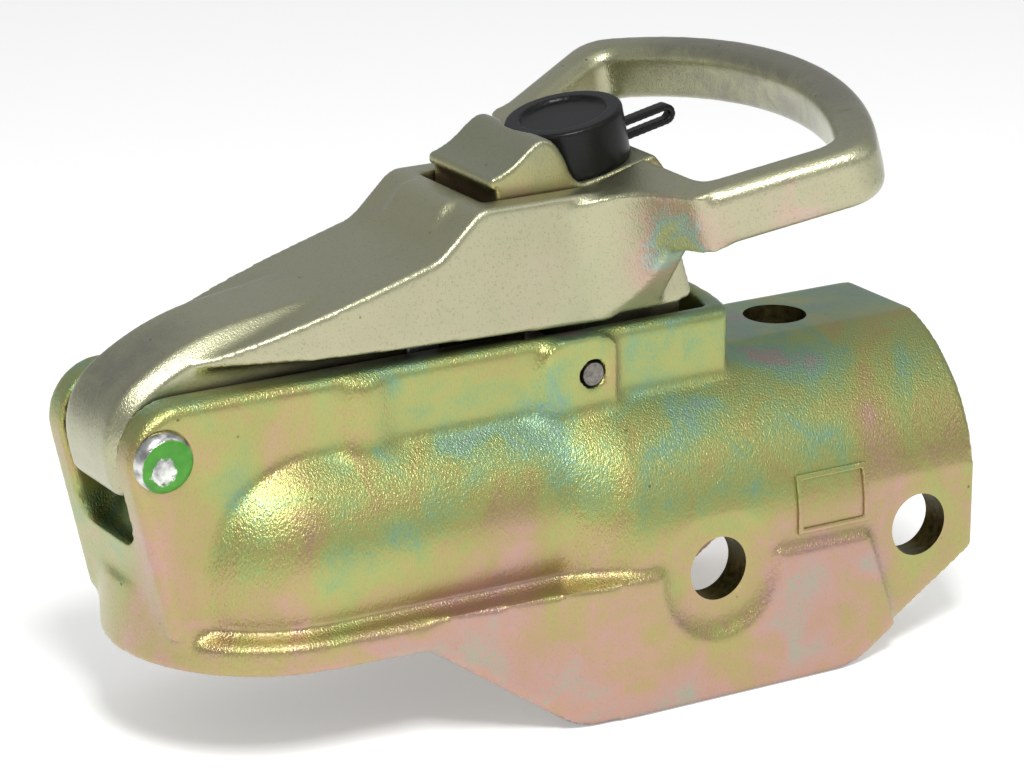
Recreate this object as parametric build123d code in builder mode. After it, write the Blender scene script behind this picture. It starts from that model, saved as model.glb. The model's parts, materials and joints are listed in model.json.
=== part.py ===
# Trailer coupling head for a 50 mm tow ball, with a lift handle, a thumb trigger and a lock.
# Origin at the centre of the ball socket, +X towards the drawbar, +Z up, millimetres.
import os
from math import cos, radians, sin, sqrt, tan

from build123d import *

os.makedirs("parts", exist_ok=True)

# Clearances
ball_clearance = 0.3
drawbar_clearance = 0.4
bolt_clearance = 0.5
running_clearance = 0.05
seat_clearance = 0.02
swing_clearance = 0.5
cap_clearance = 0.3
spring_clearance = 0.1

# Angles
quarter_turn = 90.0

# Ball cup
ball_diameter = 50.0
cup_wall = 6.7
lip_width = 3.0
lip_height = 7.4
lip_edge = 2.4
lip_front_x = -20.0
lip_front_z = -2.0
rim_depth = 18.4
cavity_length = 58.0
crown_open_x = 8.0
socket_radius = ball_diameter / 2 + ball_clearance
cup_radius = socket_radius + cup_wall
lip_radius = cup_radius + lip_width
lip_top_z = lip_height - rim_depth

# Drawbar channel and the arch over it
drawbar_diameter = 60.0
arch_radius = 38.0
arch_axis_z = -7.0
flat_top_z = 29.0
cup_flat_z = 30.0
blend_length = 14.0
bulkhead_length = 16.0
rear_x = 161.7
channel_radius = drawbar_diameter / 2 + drawbar_clearance
channel_front_x = cavity_length + bulkhead_length
arch_front_x = cavity_length + blend_length

# Bolts through the drawbar
bolt_diameter = 14.0
front_bolt_x = 92.5
bolt_spacing = 54.0
bolt_z = -13.0
top_bolt_x = 132.0
bolt_face_half_width = 37.5
bolt_face_radius = 12.5
bolt_face_taper = 60.0
rear_face_top_x = 132.0
rear_face_toe_x = 142.5
rear_face_top_z = 1.0
bolt_hole_radius = (bolt_diameter + bolt_clearance) / 2
rear_bolt_x = front_bolt_x + bolt_spacing

# Skirts that hang below the channel
skirt_half_width = 39.5
skirt_bottom_z = -43.0
skirt_nose_x = 21.0
skirt_toe_x = 57.0
skirt_heel_x = 128.0
skirt_rear_z = -21.0
skirt_ledge_z = -12.0
skirt_ledge_x = 112.0
skirt_corner = 18.0

# Cheeks at the nose, with the well behind them
cheek_half_width = 21.0
cheek_gap_half_width = 13.0
slot_floor_z = 8.0
slot_corner = 6.0
cheek_top_z = 40.5
cheek_front_x = -43.0
cheek_foot_x = -31.6
cheek_corner = 12.0
cheek_edge = 2.5
rib_x = 14.2
rib_width = 7.0
rib_height = 1.5
well_half_width = 17.0
well_floor_z = 19.6
well_front_x = 53.0
well_side_x = 101.5
well_end_x = 105.5
well_wall = 3.5

# Catch block and its cross pin
catch_pin_radius = 3.0
catch_x = 69.0
catch_z = 31.5
catch_block_half_width = 23.0
catch_block_front = 12.0
catch_block_rear = 6.5
catch_block_depth = 14.0
catch_block_rise = 8.5
catch_block_corner = 5.0
pin_chamfer = 0.4

# Handle pivot
pivot_x = -33.0
pivot_z = 29.3
pivot_radius = 5.0
rivet_head_radius = 6.6
rivet_head_height = 2.6
rivet_head_edge = 2.3

# Handle: neck, wings and deck
nose_heel_x = -29.0
nose_toe_x = -38.7
nose_bottom_z = 18.6
nose_toe_radius = 4.0
nose_brow_run = 11.4
nose_brow_radius = 16.0
crest_x = -33.0
crest_z = 43.35
crest_heading = 33.8
crest_radius = 57.0
crest_turn = 25.8
neck_run = 40.6
throat_radius = 8.0
deck_front_x = 40.0
deck_z = 71.0
deck_corner = 5.0
neck_half_width = cheek_gap_half_width - swing_clearance
neck_bevel = 3.0
bevel_angle = 45.0
neck_under_x = -15.0
neck_under_z = 34.0
neck_rear_x = 60.0
wing_half_width = 20.0
wing_tip_x = -22.0
wing_tip_z = 45.6
wing_tip_edge = 0.6
wing_shoulder_x = 33.0
wing_shoulder_z = 61.6
wing_rise_x = 43.0
wing_flare_x = 22.0
wing_heel_x = 76.5
wing_heel_z = 41.5
wing_corner = 6.0
ear_root_x = 86.0
ear_end_x = 97.5
ear_top_z = 66.0
ear_bottom_z = 56.5
ear_heel_x = 89.0

# Handle: D grip, its plan measured from its top centre along a slope
grip_centre_x = 110.0
grip_centre_z = 82.0
grip_slope = 16.7
grip_root_reach = 38.1
grip_shoulder_reach = 29.2
grip_shoulder_half_width = 43.0
grip_shoulder_radius = 7.0
grip_corner_reach = 6.3
grip_half_width = 58.0
grip_corner_radius = 9.0
grip_rear_reach = 27.7
grip_width = 9.5
grip_opening_radius = 5.0
grip_height = 13.5
grip_edge = 3.4
grip_root_length = 52.0
grip_root_radius = 18.0
web_depth = 32.0
web_rear_reach = 24.0
web_bottom_z = 43.0
web_top_z = 59.6

# Trigger in the handle
trigger_half_width = 13.5
trigger_pin_x = 92.5
trigger_pin_z = 61.0
trigger_pin_radius = 3.0
trigger_pin_seat = 4.0
trigger_lip_x = 49.0
trigger_lip_z = 75.2
trigger_lip_thickness = 2.4
trigger_lip_rise = 14.0
trigger_pad_x = 55.4
trigger_pad_z = 78.0
trigger_ridge_x = 62.6
trigger_ridge_z = 82.3
trigger_fall_x = 67.3
trigger_fall_z = 77.8
trigger_saddle_x = 73.5
trigger_chin = 1.6
trigger_under_z = 60.0
trigger_tail_x = 90.5
trigger_end_x = 97.5
trigger_end_z = 66.0
hook_gap = 0.5
tooth_gap = 0.3
hook_root_x = 66.0
hook_neck_z = 50.0
hook_heel_z = 38.0
hook_toe_x = 87.0
hook_bottom_z = 23.5
tooth_reach = 1.5
tooth_tip = 2.2
pocket_front_x = 46.8
pocket_floor_z = 50.0
pocket_end_x = 105.0

# Lock and dust cap, square to a leaning seat on the trigger
lock_lean = 12.0
lock_seat_x = 77.5
lock_seat_z = 72.35
lock_boss_radius = 10.4
lock_boss_height = 8.0
lock_body_radius = 7.0
lock_body_length = 24.0
lock_room = 6.5
plug_radius = 4.8
plug_flange_radius = 5.8
plug_flange = 1.2
plug_tail_width = 4.6
key_width = 1.6
key_height = 6.4
key_depth = 19.0
wafer_count = 6
wafer_pitch = 2.6
wafer_first = 3.4
wafer_thickness = 0.9
wafer_width = 3.8
wafer_height = 8.4
cam_radius = 4.4
cam_reach = 6.4
cam_width = 5.0
cam_thickness = 2.2
cam_gap = 0.3
cam_screw_radius = 1.3
cam_screw_length = 4.5
cam_screw_head_radius = 2.9
cam_screw_head = 1.6
screw_slot = 0.8
cap_radius = 13.0
cap_height = 11.5
cap_dish_radius = 9.5
cap_dish_depth = 0.8
cap_edge = 0.7
cap_seat_gap = 0.15
cap_crown_gap = 0.6
strap_length = 16.0
strap_height = 4.6
strap_band = 1.4
strap_width = 3.0
strap_rise = 2.6
strap_root = 2.0

# Ball jaw under the handle
jaw_half_width = 12.0
jaw_lug_half_width = 8.0
jaw_lug_front_x = 21.0
jaw_lug_rear_x = 45.0
jaw_lug_top_z = 46.0
jaw_lug_root = 4.0
jaw_shoulder_gap = 0.3
jaw_rear_x = 42.0
jaw_rear_z = 4.0
jaw_heel_x = 36.0
jaw_heel_z = -12.0
jaw_tip_x = 18.8
jaw_tip_width = 5.0
jaw_tip_z = -17.4
jaw_pin_x = 33.0
jaw_pin_z = 39.5
jaw_pin_radius = 4.0

# Springs
pivot_spring_wire = 0.8
pivot_spring_turns = 3.5
pivot_spring_pitch = 2.0
pivot_spring_gap = 0.3
pivot_spring_top_leg = 14.0
pivot_spring_low_leg = 9.0
trigger_spring_wire = 0.6
trigger_spring_radius = 3.0
trigger_spring_turns = 5.0
trigger_spring_x = 55.4
trigger_spring_seat = 2.0

# Frames and outlines that several pieces share
lock_seat = Plane(
    (lock_seat_x, 0, lock_seat_z),
    x_dir=(cos(radians(lock_lean)), 0, sin(radians(lock_lean))),
    z_dir=(-sin(radians(lock_lean)), 0, cos(radians(lock_lean))),
)
grip_top = Plane(
    (grip_centre_x, 0, grip_centre_z),
    x_dir=(cos(radians(grip_slope)), 0, sin(radians(grip_slope))),
    z_dir=(-sin(radians(grip_slope)), 0, cos(radians(grip_slope))),
)
lock_foot = lock_seat.offset(lock_boss_height - lock_body_length)
pivot_spring_radius = pivot_radius + pivot_spring_gap + pivot_spring_wire
spring_room_radius = pivot_spring_radius + pivot_spring_wire + spring_clearance
pivot_spring_height = pivot_spring_turns * pivot_spring_pitch
spring_room_half_width = pivot_spring_height / 2 + 2 * pivot_spring_wire
spring_seat_radius = trigger_spring_radius + trigger_spring_wire + spring_clearance
pocket_half_width = trigger_half_width + swing_clearance
trigger_pin_length = wing_half_width + pocket_half_width + trigger_pin_seat
hook_face_x = catch_x + catch_pin_radius + hook_gap
tooth_top_z = catch_z - catch_pin_radius - tooth_gap
tooth_tip_x = catch_x - tooth_reach
trigger_spring_foot_z = pocket_floor_z - trigger_spring_seat + trigger_spring_wire + spring_clearance
trigger_spring_head_z = trigger_under_z + trigger_spring_seat - trigger_spring_wire - spring_clearance
trigger_spring_length = trigger_spring_head_z - trigger_spring_foot_z
cam_plane = lock_foot.offset(-cam_gap - cam_thickness)
strap_plane = Plane(
    lock_seat.from_local_coords((cap_radius - strap_root + strap_length / 2, 0, strap_rise)),
    x_dir=lock_seat.x_dir,
    z_dir=(0, -1, 0),
)


def seat_height(x):
    """The height of the lock's seat plane at x."""
    return lock_seat_z + tan(radians(lock_lean)) * (x - lock_seat_x)


def wafer_plane(index):
    """The upper side of a wafer slot in the lock plug."""
    return lock_seat.offset(lock_boss_height - wafer_first - index * wafer_pitch)


def grip_plan():
    """The grip's outer plan on its slope: shoulders, arms that spread to the rear and a bowed rear bar."""
    with BuildSketch() as plan:
        with BuildLine():
            rear_bar = ThreePointArc(
                (grip_corner_reach, -grip_half_width),
                (grip_rear_reach, 0),
                (grip_corner_reach, grip_half_width),
            )
            Polyline(
                rear_bar @ 1,
                (-grip_shoulder_reach, grip_shoulder_half_width),
                (-grip_root_reach, wing_half_width),
                (-grip_root_reach, -wing_half_width),
                (-grip_shoulder_reach, -grip_shoulder_half_width),
                rear_bar @ 0,
            )
        make_face()
        across = plan.vertices().group_by(Axis.Y)
        fillet(across[1] + across[-2], grip_shoulder_radius)
        across = plan.vertices().group_by(Axis.Y)
        fillet(across[0] + across[-1], grip_corner_radius)
    return plan.sketch


def finger_opening():
    """The opening inside the grip, one bar's width in from its outer plan."""
    with BuildSketch() as plan:
        offset(grip_plan(), amount=-grip_width)
        fillet(plan.vertices(), grip_opening_radius)
    return plan.sketch


def flared_plan():
    """The grip's plan run together with the deck, with a hollow flare where the arms leave it."""
    with BuildSketch() as plan:
        add(grip_plan())
        with Locations((-grip_root_length, 0)):
            Rectangle(grip_root_length, 2 * wing_half_width, align=(Align.MIN, Align.CENTER))
        roots = plan.vertices().filter_by(lambda v: abs(abs(v.Y) - wing_half_width) < seat_clearance)
        fillet(roots.sort_by(Axis.X)[-2:], grip_root_radius)
    return plan.sketch


def cross_plane(x, z):
    """A plane square to Y, with its origin on a cross pin's axis."""
    return Plane((x, 0, z), x_dir=(1, 0, 0), z_dir=(0, -1, 0))


def arch_section(x, radius, axis_z, top_z):
    """The head's outer section at x: upright sides, an arch and a flat top, down to the rim."""
    flat = sqrt(radius**2 - (top_z - axis_z) ** 2)
    with BuildSketch(Plane.YZ.offset(x)) as section:
        with BuildLine():
            Polyline((-radius, axis_z), (-radius, -rim_depth), (radius, -rim_depth), (radius, axis_z))
            RadiusArc((radius, axis_z), (flat, top_z), -radius)
            Line((flat, top_z), (-flat, top_z))
            RadiusArc((-flat, top_z), (-radius, axis_z), -radius)
        make_face()
    return section.sketch


def lower_plan(z):
    """The plan of the lip and the skirts: round at the front, widening to the skirts' full width."""
    with BuildSketch(Plane.XY.offset(z)) as plan:
        Circle(lip_radius)
        Polygon(
            (0, -lip_radius),
            (arch_front_x, -skirt_half_width),
            (rear_x, -skirt_half_width),
            (rear_x, skirt_half_width),
            (arch_front_x, skirt_half_width),
            (0, lip_radius),
            align=None,
        )
    return plan.sketch


def well_plan(z, half_width, side_x, end_x):
    """The plan of the well, with a bowed rear end."""
    with BuildSketch(Plane.XY.offset(z)) as plan:
        with BuildLine():
            ThreePointArc((side_x, -half_width), (end_x, 0), (side_x, half_width))
            Polyline(
                (side_x, half_width),
                (well_front_x, half_width),
                (well_front_x, -half_width),
                (side_x, -half_width),
            )
        make_face()
    return plan.sketch


# Cheek plate of the housing: both cheeks and the walls of the well
with BuildPart() as cheeks:
    with BuildSketch(Plane.XZ) as cheek_side:
        Polygon(
            (cheek_foot_x, lip_top_z),
            (cheek_front_x, cheek_top_z),
            (well_front_x, cheek_top_z),
            (well_front_x, lip_top_z),
            align=None,
        )
        fillet(cheek_side.vertices().group_by(Axis.Y)[-1].sort_by(Axis.X)[0], cheek_corner)
    extrude(amount=cheek_half_width, both=True)
    extrude(
        well_plan(arch_axis_z, cheek_half_width, well_side_x + well_wall, well_end_x + well_wall),
        amount=cheek_top_z - arch_axis_z,
    )
    cheek_rims = cheeks.edges().filter_by(lambda e: abs(e.center().Y) > cheek_gap_half_width)
    cheek_rims = cheek_rims.filter_by(lambda e: e.center().X < well_front_x)
    fillet(cheek_rims.filter_by(lambda e: e.center().Z > arch_axis_z), cheek_edge)
    # Slot for the handle, with a wall below it that joins the cheeks in front of the cup
    with BuildSketch(Plane.YZ.offset(cheek_front_x - cheek_edge)) as slot_end:
        with Locations((0, slot_floor_z)):
            Rectangle(
                2 * cheek_gap_half_width,
                cheek_top_z + cheek_edge - slot_floor_z,
                align=(Align.CENTER, Align.MIN),
            )
        fillet(slot_end.vertices().group_by(Axis.Y)[0], slot_corner)
    extrude(amount=well_front_x - cheek_front_x + cheek_edge, mode=Mode.SUBTRACT)

# One skirt of the housing, drawn on its inner face
with BuildPart() as skirt:
    with BuildSketch(Plane.XZ.offset(channel_radius)) as skirt_side:
        Polygon(
            (skirt_nose_x, -rim_depth),
            (skirt_toe_x, skirt_bottom_z),
            (skirt_heel_x, skirt_bottom_z),
            (rear_x, skirt_rear_z),
            (rear_x, skirt_ledge_z),
            (skirt_ledge_x, skirt_ledge_z),
            (arch_front_x, lip_top_z),
            (skirt_nose_x, lip_top_z),
            align=None,
        )
        fillet(skirt_side.vertices().group_by(Axis.Y)[0], skirt_corner)
    extrude(amount=skirt_half_width - channel_radius)
    extrude(lower_plan(skirt_bottom_z), amount=lip_top_z - skirt_bottom_z, mode=Mode.INTERSECT)

# Lip round the rim, as far back as the arch, with a soft upper edge
with BuildPart() as lip:
    with BuildSketch(Plane.XY.offset(-rim_depth)):
        add(lower_plan(-rim_depth))
        with Locations((arch_front_x, 0)):
            Rectangle(
                rear_x, 2 * skirt_half_width, align=(Align.MIN, Align.CENTER), mode=Mode.SUBTRACT
            )
    extrude(amount=lip_height)
    lip_top = lip.faces().sort_by(Axis.Z)[-1]
    fillet(lip_top.edges().filter_by(lambda e: e.center().X < arch_front_x - seat_clearance), lip_edge)

# The cup: a ball and a barrel round the socket, cut off at the rim
with BuildPart() as cup:
    Sphere(cup_radius)
    Cylinder(
        cup_radius,
        cavity_length,
        rotation=(0, quarter_turn, 0),
        align=(Align.CENTER, Align.CENTER, Align.MIN),
    )
    split(bisect_by=Plane.XY.offset(-rim_depth), keep=Keep.TOP)

# Housing: one casting
with BuildPart() as housing:
    add(cheeks.part)
    add(cup.part)
    add(skirt.part)
    mirror(skirt.part, about=Plane.XZ)
    add(lip.part)
    # The round front of the lip runs up into the wall between the cheeks
    with BuildSketch(Plane.XY.offset(-rim_depth)):
        Circle(lip_radius)
        with Locations((lip_front_x, 0)):
            Rectangle(
                lip_radius, 2 * cheek_half_width, align=(Align.MAX, Align.CENTER), mode=Mode.INTERSECT
            )
    extrude(amount=rim_depth + lip_front_z)
    # The barrel widens into the arch over the drawbar
    loft([
        arch_section(cavity_length, cup_radius, 0, cup_flat_z),
        arch_section(arch_front_x, arch_radius, arch_axis_z, flat_top_z),
    ])
    extrude(arch_section(arch_front_x, arch_radius, arch_axis_z, flat_top_z), amount=rear_x - arch_front_x)
    # Catch block on both sides of the well
    with BuildSketch(Plane.XZ) as block_side:
        Polygon(
            (catch_x - catch_block_front, catch_z - catch_block_depth),
            (catch_x + catch_block_rear, catch_z - catch_block_depth),
            (catch_x + catch_block_rear, catch_z + catch_block_rise),
            (catch_x - catch_block_front, catch_z + catch_block_rise),
            align=None,
        )
        fillet(block_side.vertices().group_by(Axis.Y)[-1], catch_block_corner)
    extrude(amount=catch_block_half_width, both=True)
    # Upright rib on each cheek, between its top edge and the cup
    with BuildSketch(Plane.XZ) as rib_side:
        with Locations((rib_x, 0)):
            Rectangle(rib_width, cheek_top_z - cheek_edge, align=(Align.CENTER, Align.MIN))
    extrude(amount=cheek_half_width + rib_height, both=True)
    # Ball socket, drawn out to the rear for the jaw and open below
    Sphere(socket_radius, mode=Mode.SUBTRACT)
    Cylinder(
        socket_radius,
        cavity_length,
        rotation=(0, quarter_turn, 0),
        align=(Align.CENTER, Align.CENTER, Align.MIN),
        mode=Mode.SUBTRACT,
    )
    with BuildSketch(Plane.XY.offset(-rim_depth)):
        Circle(socket_radius)
        Rectangle(cavity_length, 2 * socket_radius, align=(Align.MIN, Align.CENTER))
    extrude(amount=rim_depth, mode=Mode.SUBTRACT)
    # Opening between the cheeks for the jaw, then the well for the trigger's hook
    with BuildSketch(Plane.XY):
        with Locations((crown_open_x, 0)):
            Rectangle(
                well_front_x - crown_open_x, 2 * cheek_gap_half_width, align=(Align.MIN, Align.CENTER)
            )
    extrude(amount=cheek_top_z + cheek_edge, mode=Mode.SUBTRACT)
    extrude(
        well_plan(well_floor_z, well_half_width, well_side_x, well_end_x),
        amount=cheek_top_z - well_floor_z + cheek_edge,
        mode=Mode.SUBTRACT,
    )
    # Drawbar channel, open below and behind, with its arch on the cross bolts' axis
    with BuildSketch(Plane.YZ.offset(channel_front_x)):
        with Locations((0, bolt_z)):
            Circle(channel_radius)
            Rectangle(
                2 * channel_radius, bolt_z - skirt_bottom_z, align=(Align.CENTER, Align.MAX)
            )
    extrude(amount=rear_x - channel_front_x, mode=Mode.SUBTRACT)
    # Flat seats for the cross bolts: a round one in front, an open one at the rear end
    for side in (-1, 1):
        bolt_face = Plane((0, side * bolt_face_half_width, 0), x_dir=(1, 0, 0), z_dir=(0, side, 0))
        with BuildSketch(bolt_face):
            with Locations((front_bolt_x, -side * bolt_z)):
                Circle(bolt_face_radius)
        extrude(
            amount=skirt_half_width - bolt_face_half_width, taper=-bolt_face_taper, mode=Mode.SUBTRACT
        )
        with BuildSketch(bolt_face):
            Polygon(
                (rear_face_top_x, -side * skirt_ledge_z),
                (rear_face_toe_x, -side * skirt_bottom_z),
                (rear_x, -side * skirt_bottom_z),
                (rear_x, -side * rear_face_top_z),
                (rear_face_top_x, -side * rear_face_top_z),
                align=None,
            )
        extrude(amount=skirt_half_width - bolt_face_half_width, mode=Mode.SUBTRACT)
    for bolt_x in (front_bolt_x, rear_bolt_x):
        with BuildSketch(cross_plane(bolt_x, bolt_z)):
            Circle(bolt_hole_radius)
        extrude(amount=skirt_half_width, both=True, mode=Mode.SUBTRACT)
    with Locations((top_bolt_x, 0, flat_top_z)):
        Hole(bolt_hole_radius, flat_top_z - bolt_z)
    # Pin bores
    with BuildSketch(cross_plane(pivot_x, pivot_z)):
        Circle(pivot_radius + seat_clearance)
    extrude(amount=cheek_half_width, both=True, mode=Mode.SUBTRACT)
    with BuildSketch(cross_plane(catch_x, catch_z)):
        Circle(catch_pin_radius + seat_clearance)
    extrude(amount=catch_block_half_width, both=True, mode=Mode.SUBTRACT)
housing.part.label = "housing"
export_step(housing.part, "parts/housing.step")

# Pivot pin through both cheeks, with a domed head on the near side and a flush far end
with BuildPart() as handle_pivot_pin:
    with BuildSketch(cross_plane(pivot_x, pivot_z).offset(cheek_half_width)):
        Circle(rivet_head_radius)
    extrude(amount=rivet_head_height)
    fillet(handle_pivot_pin.edges().filter_by(GeomType.CIRCLE).sort_by(Axis.Y)[0], rivet_head_edge)
    with BuildSketch(cross_plane(pivot_x, pivot_z)):
        Circle(pivot_radius)
    extrude(amount=cheek_half_width, both=True)
    chamfer(handle_pivot_pin.edges().filter_by(GeomType.CIRCLE).sort_by(Axis.Y)[-1], pin_chamfer)
handle_pivot_pin.part.label = "handle_pivot_pin"
export_step(handle_pivot_pin.part, "parts/handle_pivot_pin.step")

# Catch pin that the trigger's hook holds on to
with BuildPart() as catch_pin:
    with BuildSketch(cross_plane(catch_x, catch_z)):
        Circle(catch_pin_radius)
    extrude(amount=catch_block_half_width, both=True)
    chamfer(catch_pin.edges().filter_by(GeomType.CIRCLE), pin_chamfer)
catch_pin.part.label = "catch_pin"
export_step(catch_pin.part, "parts/catch_pin.step")

# Neck of the handle: a nose between the cheeks, a bowed crest and a step up to the deck
with BuildPart() as neck:
    with BuildSketch(Plane.XZ):
        with BuildLine():
            crest = JernArc(
                (crest_x, crest_z),
                (cos(radians(crest_heading)), sin(radians(crest_heading))),
                crest_radius,
                -crest_turn,
            )
            FilletPolyline(
                crest @ 1,
                crest @ 1 + neck_run * (crest % 1),
                (deck_front_x, deck_z),
                (neck_rear_x, deck_z),
                radius=[throat_radius, deck_corner],
            )
            Polyline(
                (neck_rear_x, deck_z),
                (neck_rear_x, neck_under_z),
                (neck_under_x, neck_under_z),
                (nose_heel_x, nose_bottom_z),
            )
            FilletPolyline(
                (nose_heel_x, nose_bottom_z),
                (nose_toe_x, nose_bottom_z),
                crest @ 0 - nose_brow_run * (crest % 0),
                crest @ 0,
                radius=[nose_toe_radius, nose_brow_radius],
            )
        make_face()
    extrude(amount=neck_half_width - neck_bevel, both=True)
    for neck_face in neck.faces().filter_by(Axis.Y):
        extrude(neck_face, amount=neck_bevel, taper=bevel_angle)

# Wings that spread from the neck over the cheeks to the deck's full width
with BuildPart() as wings:
    with BuildSketch(Plane.XZ) as wing_side:
        Polygon(
            (wing_tip_x, wing_tip_z),
            (wing_shoulder_x, wing_shoulder_z),
            (wing_rise_x, deck_z),
            (ear_root_x, deck_z),
            (ear_end_x, ear_top_z),
            (ear_end_x, ear_bottom_z),
            (ear_heel_x, ear_bottom_z),
            (wing_heel_x, wing_heel_z),
            (wing_tip_x, wing_tip_z - wing_tip_edge),
            align=None,
        )
        fillet(wing_side.vertices().sort_by_distance((wing_shoulder_x, wing_shoulder_z))[0], throat_radius)
        fillet(wing_side.vertices().sort_by_distance((wing_rise_x, deck_z))[0], deck_corner)
        fillet(wing_side.vertices().sort_by_distance((wing_heel_x, wing_heel_z))[0], wing_corner)
        fillet(wing_side.vertices().sort_by_distance((ear_heel_x, ear_bottom_z))[0], wing_corner)
    extrude(amount=wing_half_width, both=True)
    with BuildSketch(Plane.XY):
        with BuildLine():
            near = Spline(
                (wing_tip_x, -neck_half_width),
                (wing_flare_x, -wing_half_width),
                tangents=[(wing_flare_x - wing_tip_x, -wing_half_width), (1, 0)],
            )
            far = mirror(near, about=Plane.XZ)
            Line(near @ 0, far @ 0)
            Polyline(near @ 1, (ear_end_x, -wing_half_width), (ear_end_x, wing_half_width), far @ 1)
        make_face()
    extrude(amount=deck_z, mode=Mode.INTERSECT)

# D grip on a plane that rises to the rear, its arms flared where they leave the deck
with BuildPart() as grip:
    with BuildSketch(grip_top):
        add(flared_plan())
        add(finger_opening(), mode=Mode.SUBTRACT)
    extrude(amount=-grip_height)
    fillet(grip.edges().filter_by(lambda e: e.geom_type != GeomType.LINE), grip_edge)

# Webs that carry the arms down to the deck's side walls
with BuildPart() as webs:
    with BuildSketch(grip_top):
        add(flared_plan())
        with Locations((-web_rear_reach, 0)):
            Rectangle(
                grip_root_length - web_rear_reach,
                2 * grip_shoulder_half_width,
                align=(Align.MAX, Align.CENTER),
                mode=Mode.INTERSECT,
            )
    extrude(amount=-web_depth)
    with BuildSketch(Plane.YZ):
        Polygon(
            (-grip_half_width, 0),
            (grip_half_width, 0),
            (grip_half_width, web_top_z),
            (grip_shoulder_half_width, web_top_z),
            (wing_half_width, web_bottom_z),
            (-wing_half_width, web_bottom_z),
            (-grip_shoulder_half_width, web_top_z),
            (-grip_half_width, web_top_z),
            align=None,
        )
    extrude(amount=rear_x, mode=Mode.SUBTRACT)

# Handle: one casting, with the neck, the wings and the grip run together
with BuildPart() as handle:
    add(neck.part)
    add(wings.part)
    add(grip.part)
    add(webs.part)
    # Pocket for the trigger, open below behind the neck
    with BuildSketch(Plane.XY.offset(pocket_floor_z)):
        with Locations((pocket_front_x, 0)):
            Rectangle(
                neck_rear_x - pocket_front_x, 2 * pocket_half_width, align=(Align.MIN, Align.CENTER)
            )
    extrude(amount=grip_centre_z - pocket_floor_z, mode=Mode.SUBTRACT)
    with BuildSketch(Plane.XY):
        with Locations((neck_rear_x, 0)):
            Rectangle(pocket_end_x - neck_rear_x, 2 * pocket_half_width, align=(Align.MIN, Align.CENTER))
    extrude(amount=grip_centre_z, mode=Mode.SUBTRACT)
    with BuildSketch(Plane.XY.offset(pocket_floor_z)):
        with Locations((trigger_spring_x, 0)):
            Circle(spring_seat_radius)
    extrude(amount=-trigger_spring_seat, mode=Mode.SUBTRACT)
    # Room for the spring round the pivot, open below behind the nose
    with BuildSketch(cross_plane(pivot_x, pivot_z)):
        Circle(spring_room_radius)
        with Locations((0, spring_room_radius)):
            Rectangle(
                pivot_spring_top_leg + pivot_spring_wire,
                spring_room_radius + pivot_z - nose_bottom_z,
                align=(Align.MIN, Align.MAX),
            )
    extrude(amount=spring_room_half_width, both=True, mode=Mode.SUBTRACT)
    # Slot for the jaw's lug
    with BuildSketch(Plane.XY.offset(neck_under_z)):
        with Locations((jaw_lug_front_x - seat_clearance, 0)):
            Rectangle(
                jaw_lug_rear_x - jaw_lug_front_x + 2 * seat_clearance,
                2 * (jaw_lug_half_width + seat_clearance),
                align=(Align.MIN, Align.CENTER),
            )
    extrude(amount=jaw_lug_top_z - neck_under_z + seat_clearance, mode=Mode.SUBTRACT)
    # Pin bores; the trigger's pin goes in from the far side and stops short of the near one
    with BuildSketch(cross_plane(pivot_x, pivot_z)):
        Circle(pivot_radius + running_clearance)
    extrude(amount=neck_half_width, both=True, mode=Mode.SUBTRACT)
    with BuildSketch(cross_plane(jaw_pin_x, jaw_pin_z)):
        Circle(jaw_pin_radius + seat_clearance)
    extrude(amount=neck_half_width, both=True, mode=Mode.SUBTRACT)
    with BuildSketch(cross_plane(trigger_pin_x, trigger_pin_z).offset(-wing_half_width)):
        Circle(trigger_pin_radius + seat_clearance)
    extrude(amount=trigger_pin_length, mode=Mode.SUBTRACT)
handle.part.label = "handle"
export_step(handle.part, "parts/handle.step")

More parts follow.
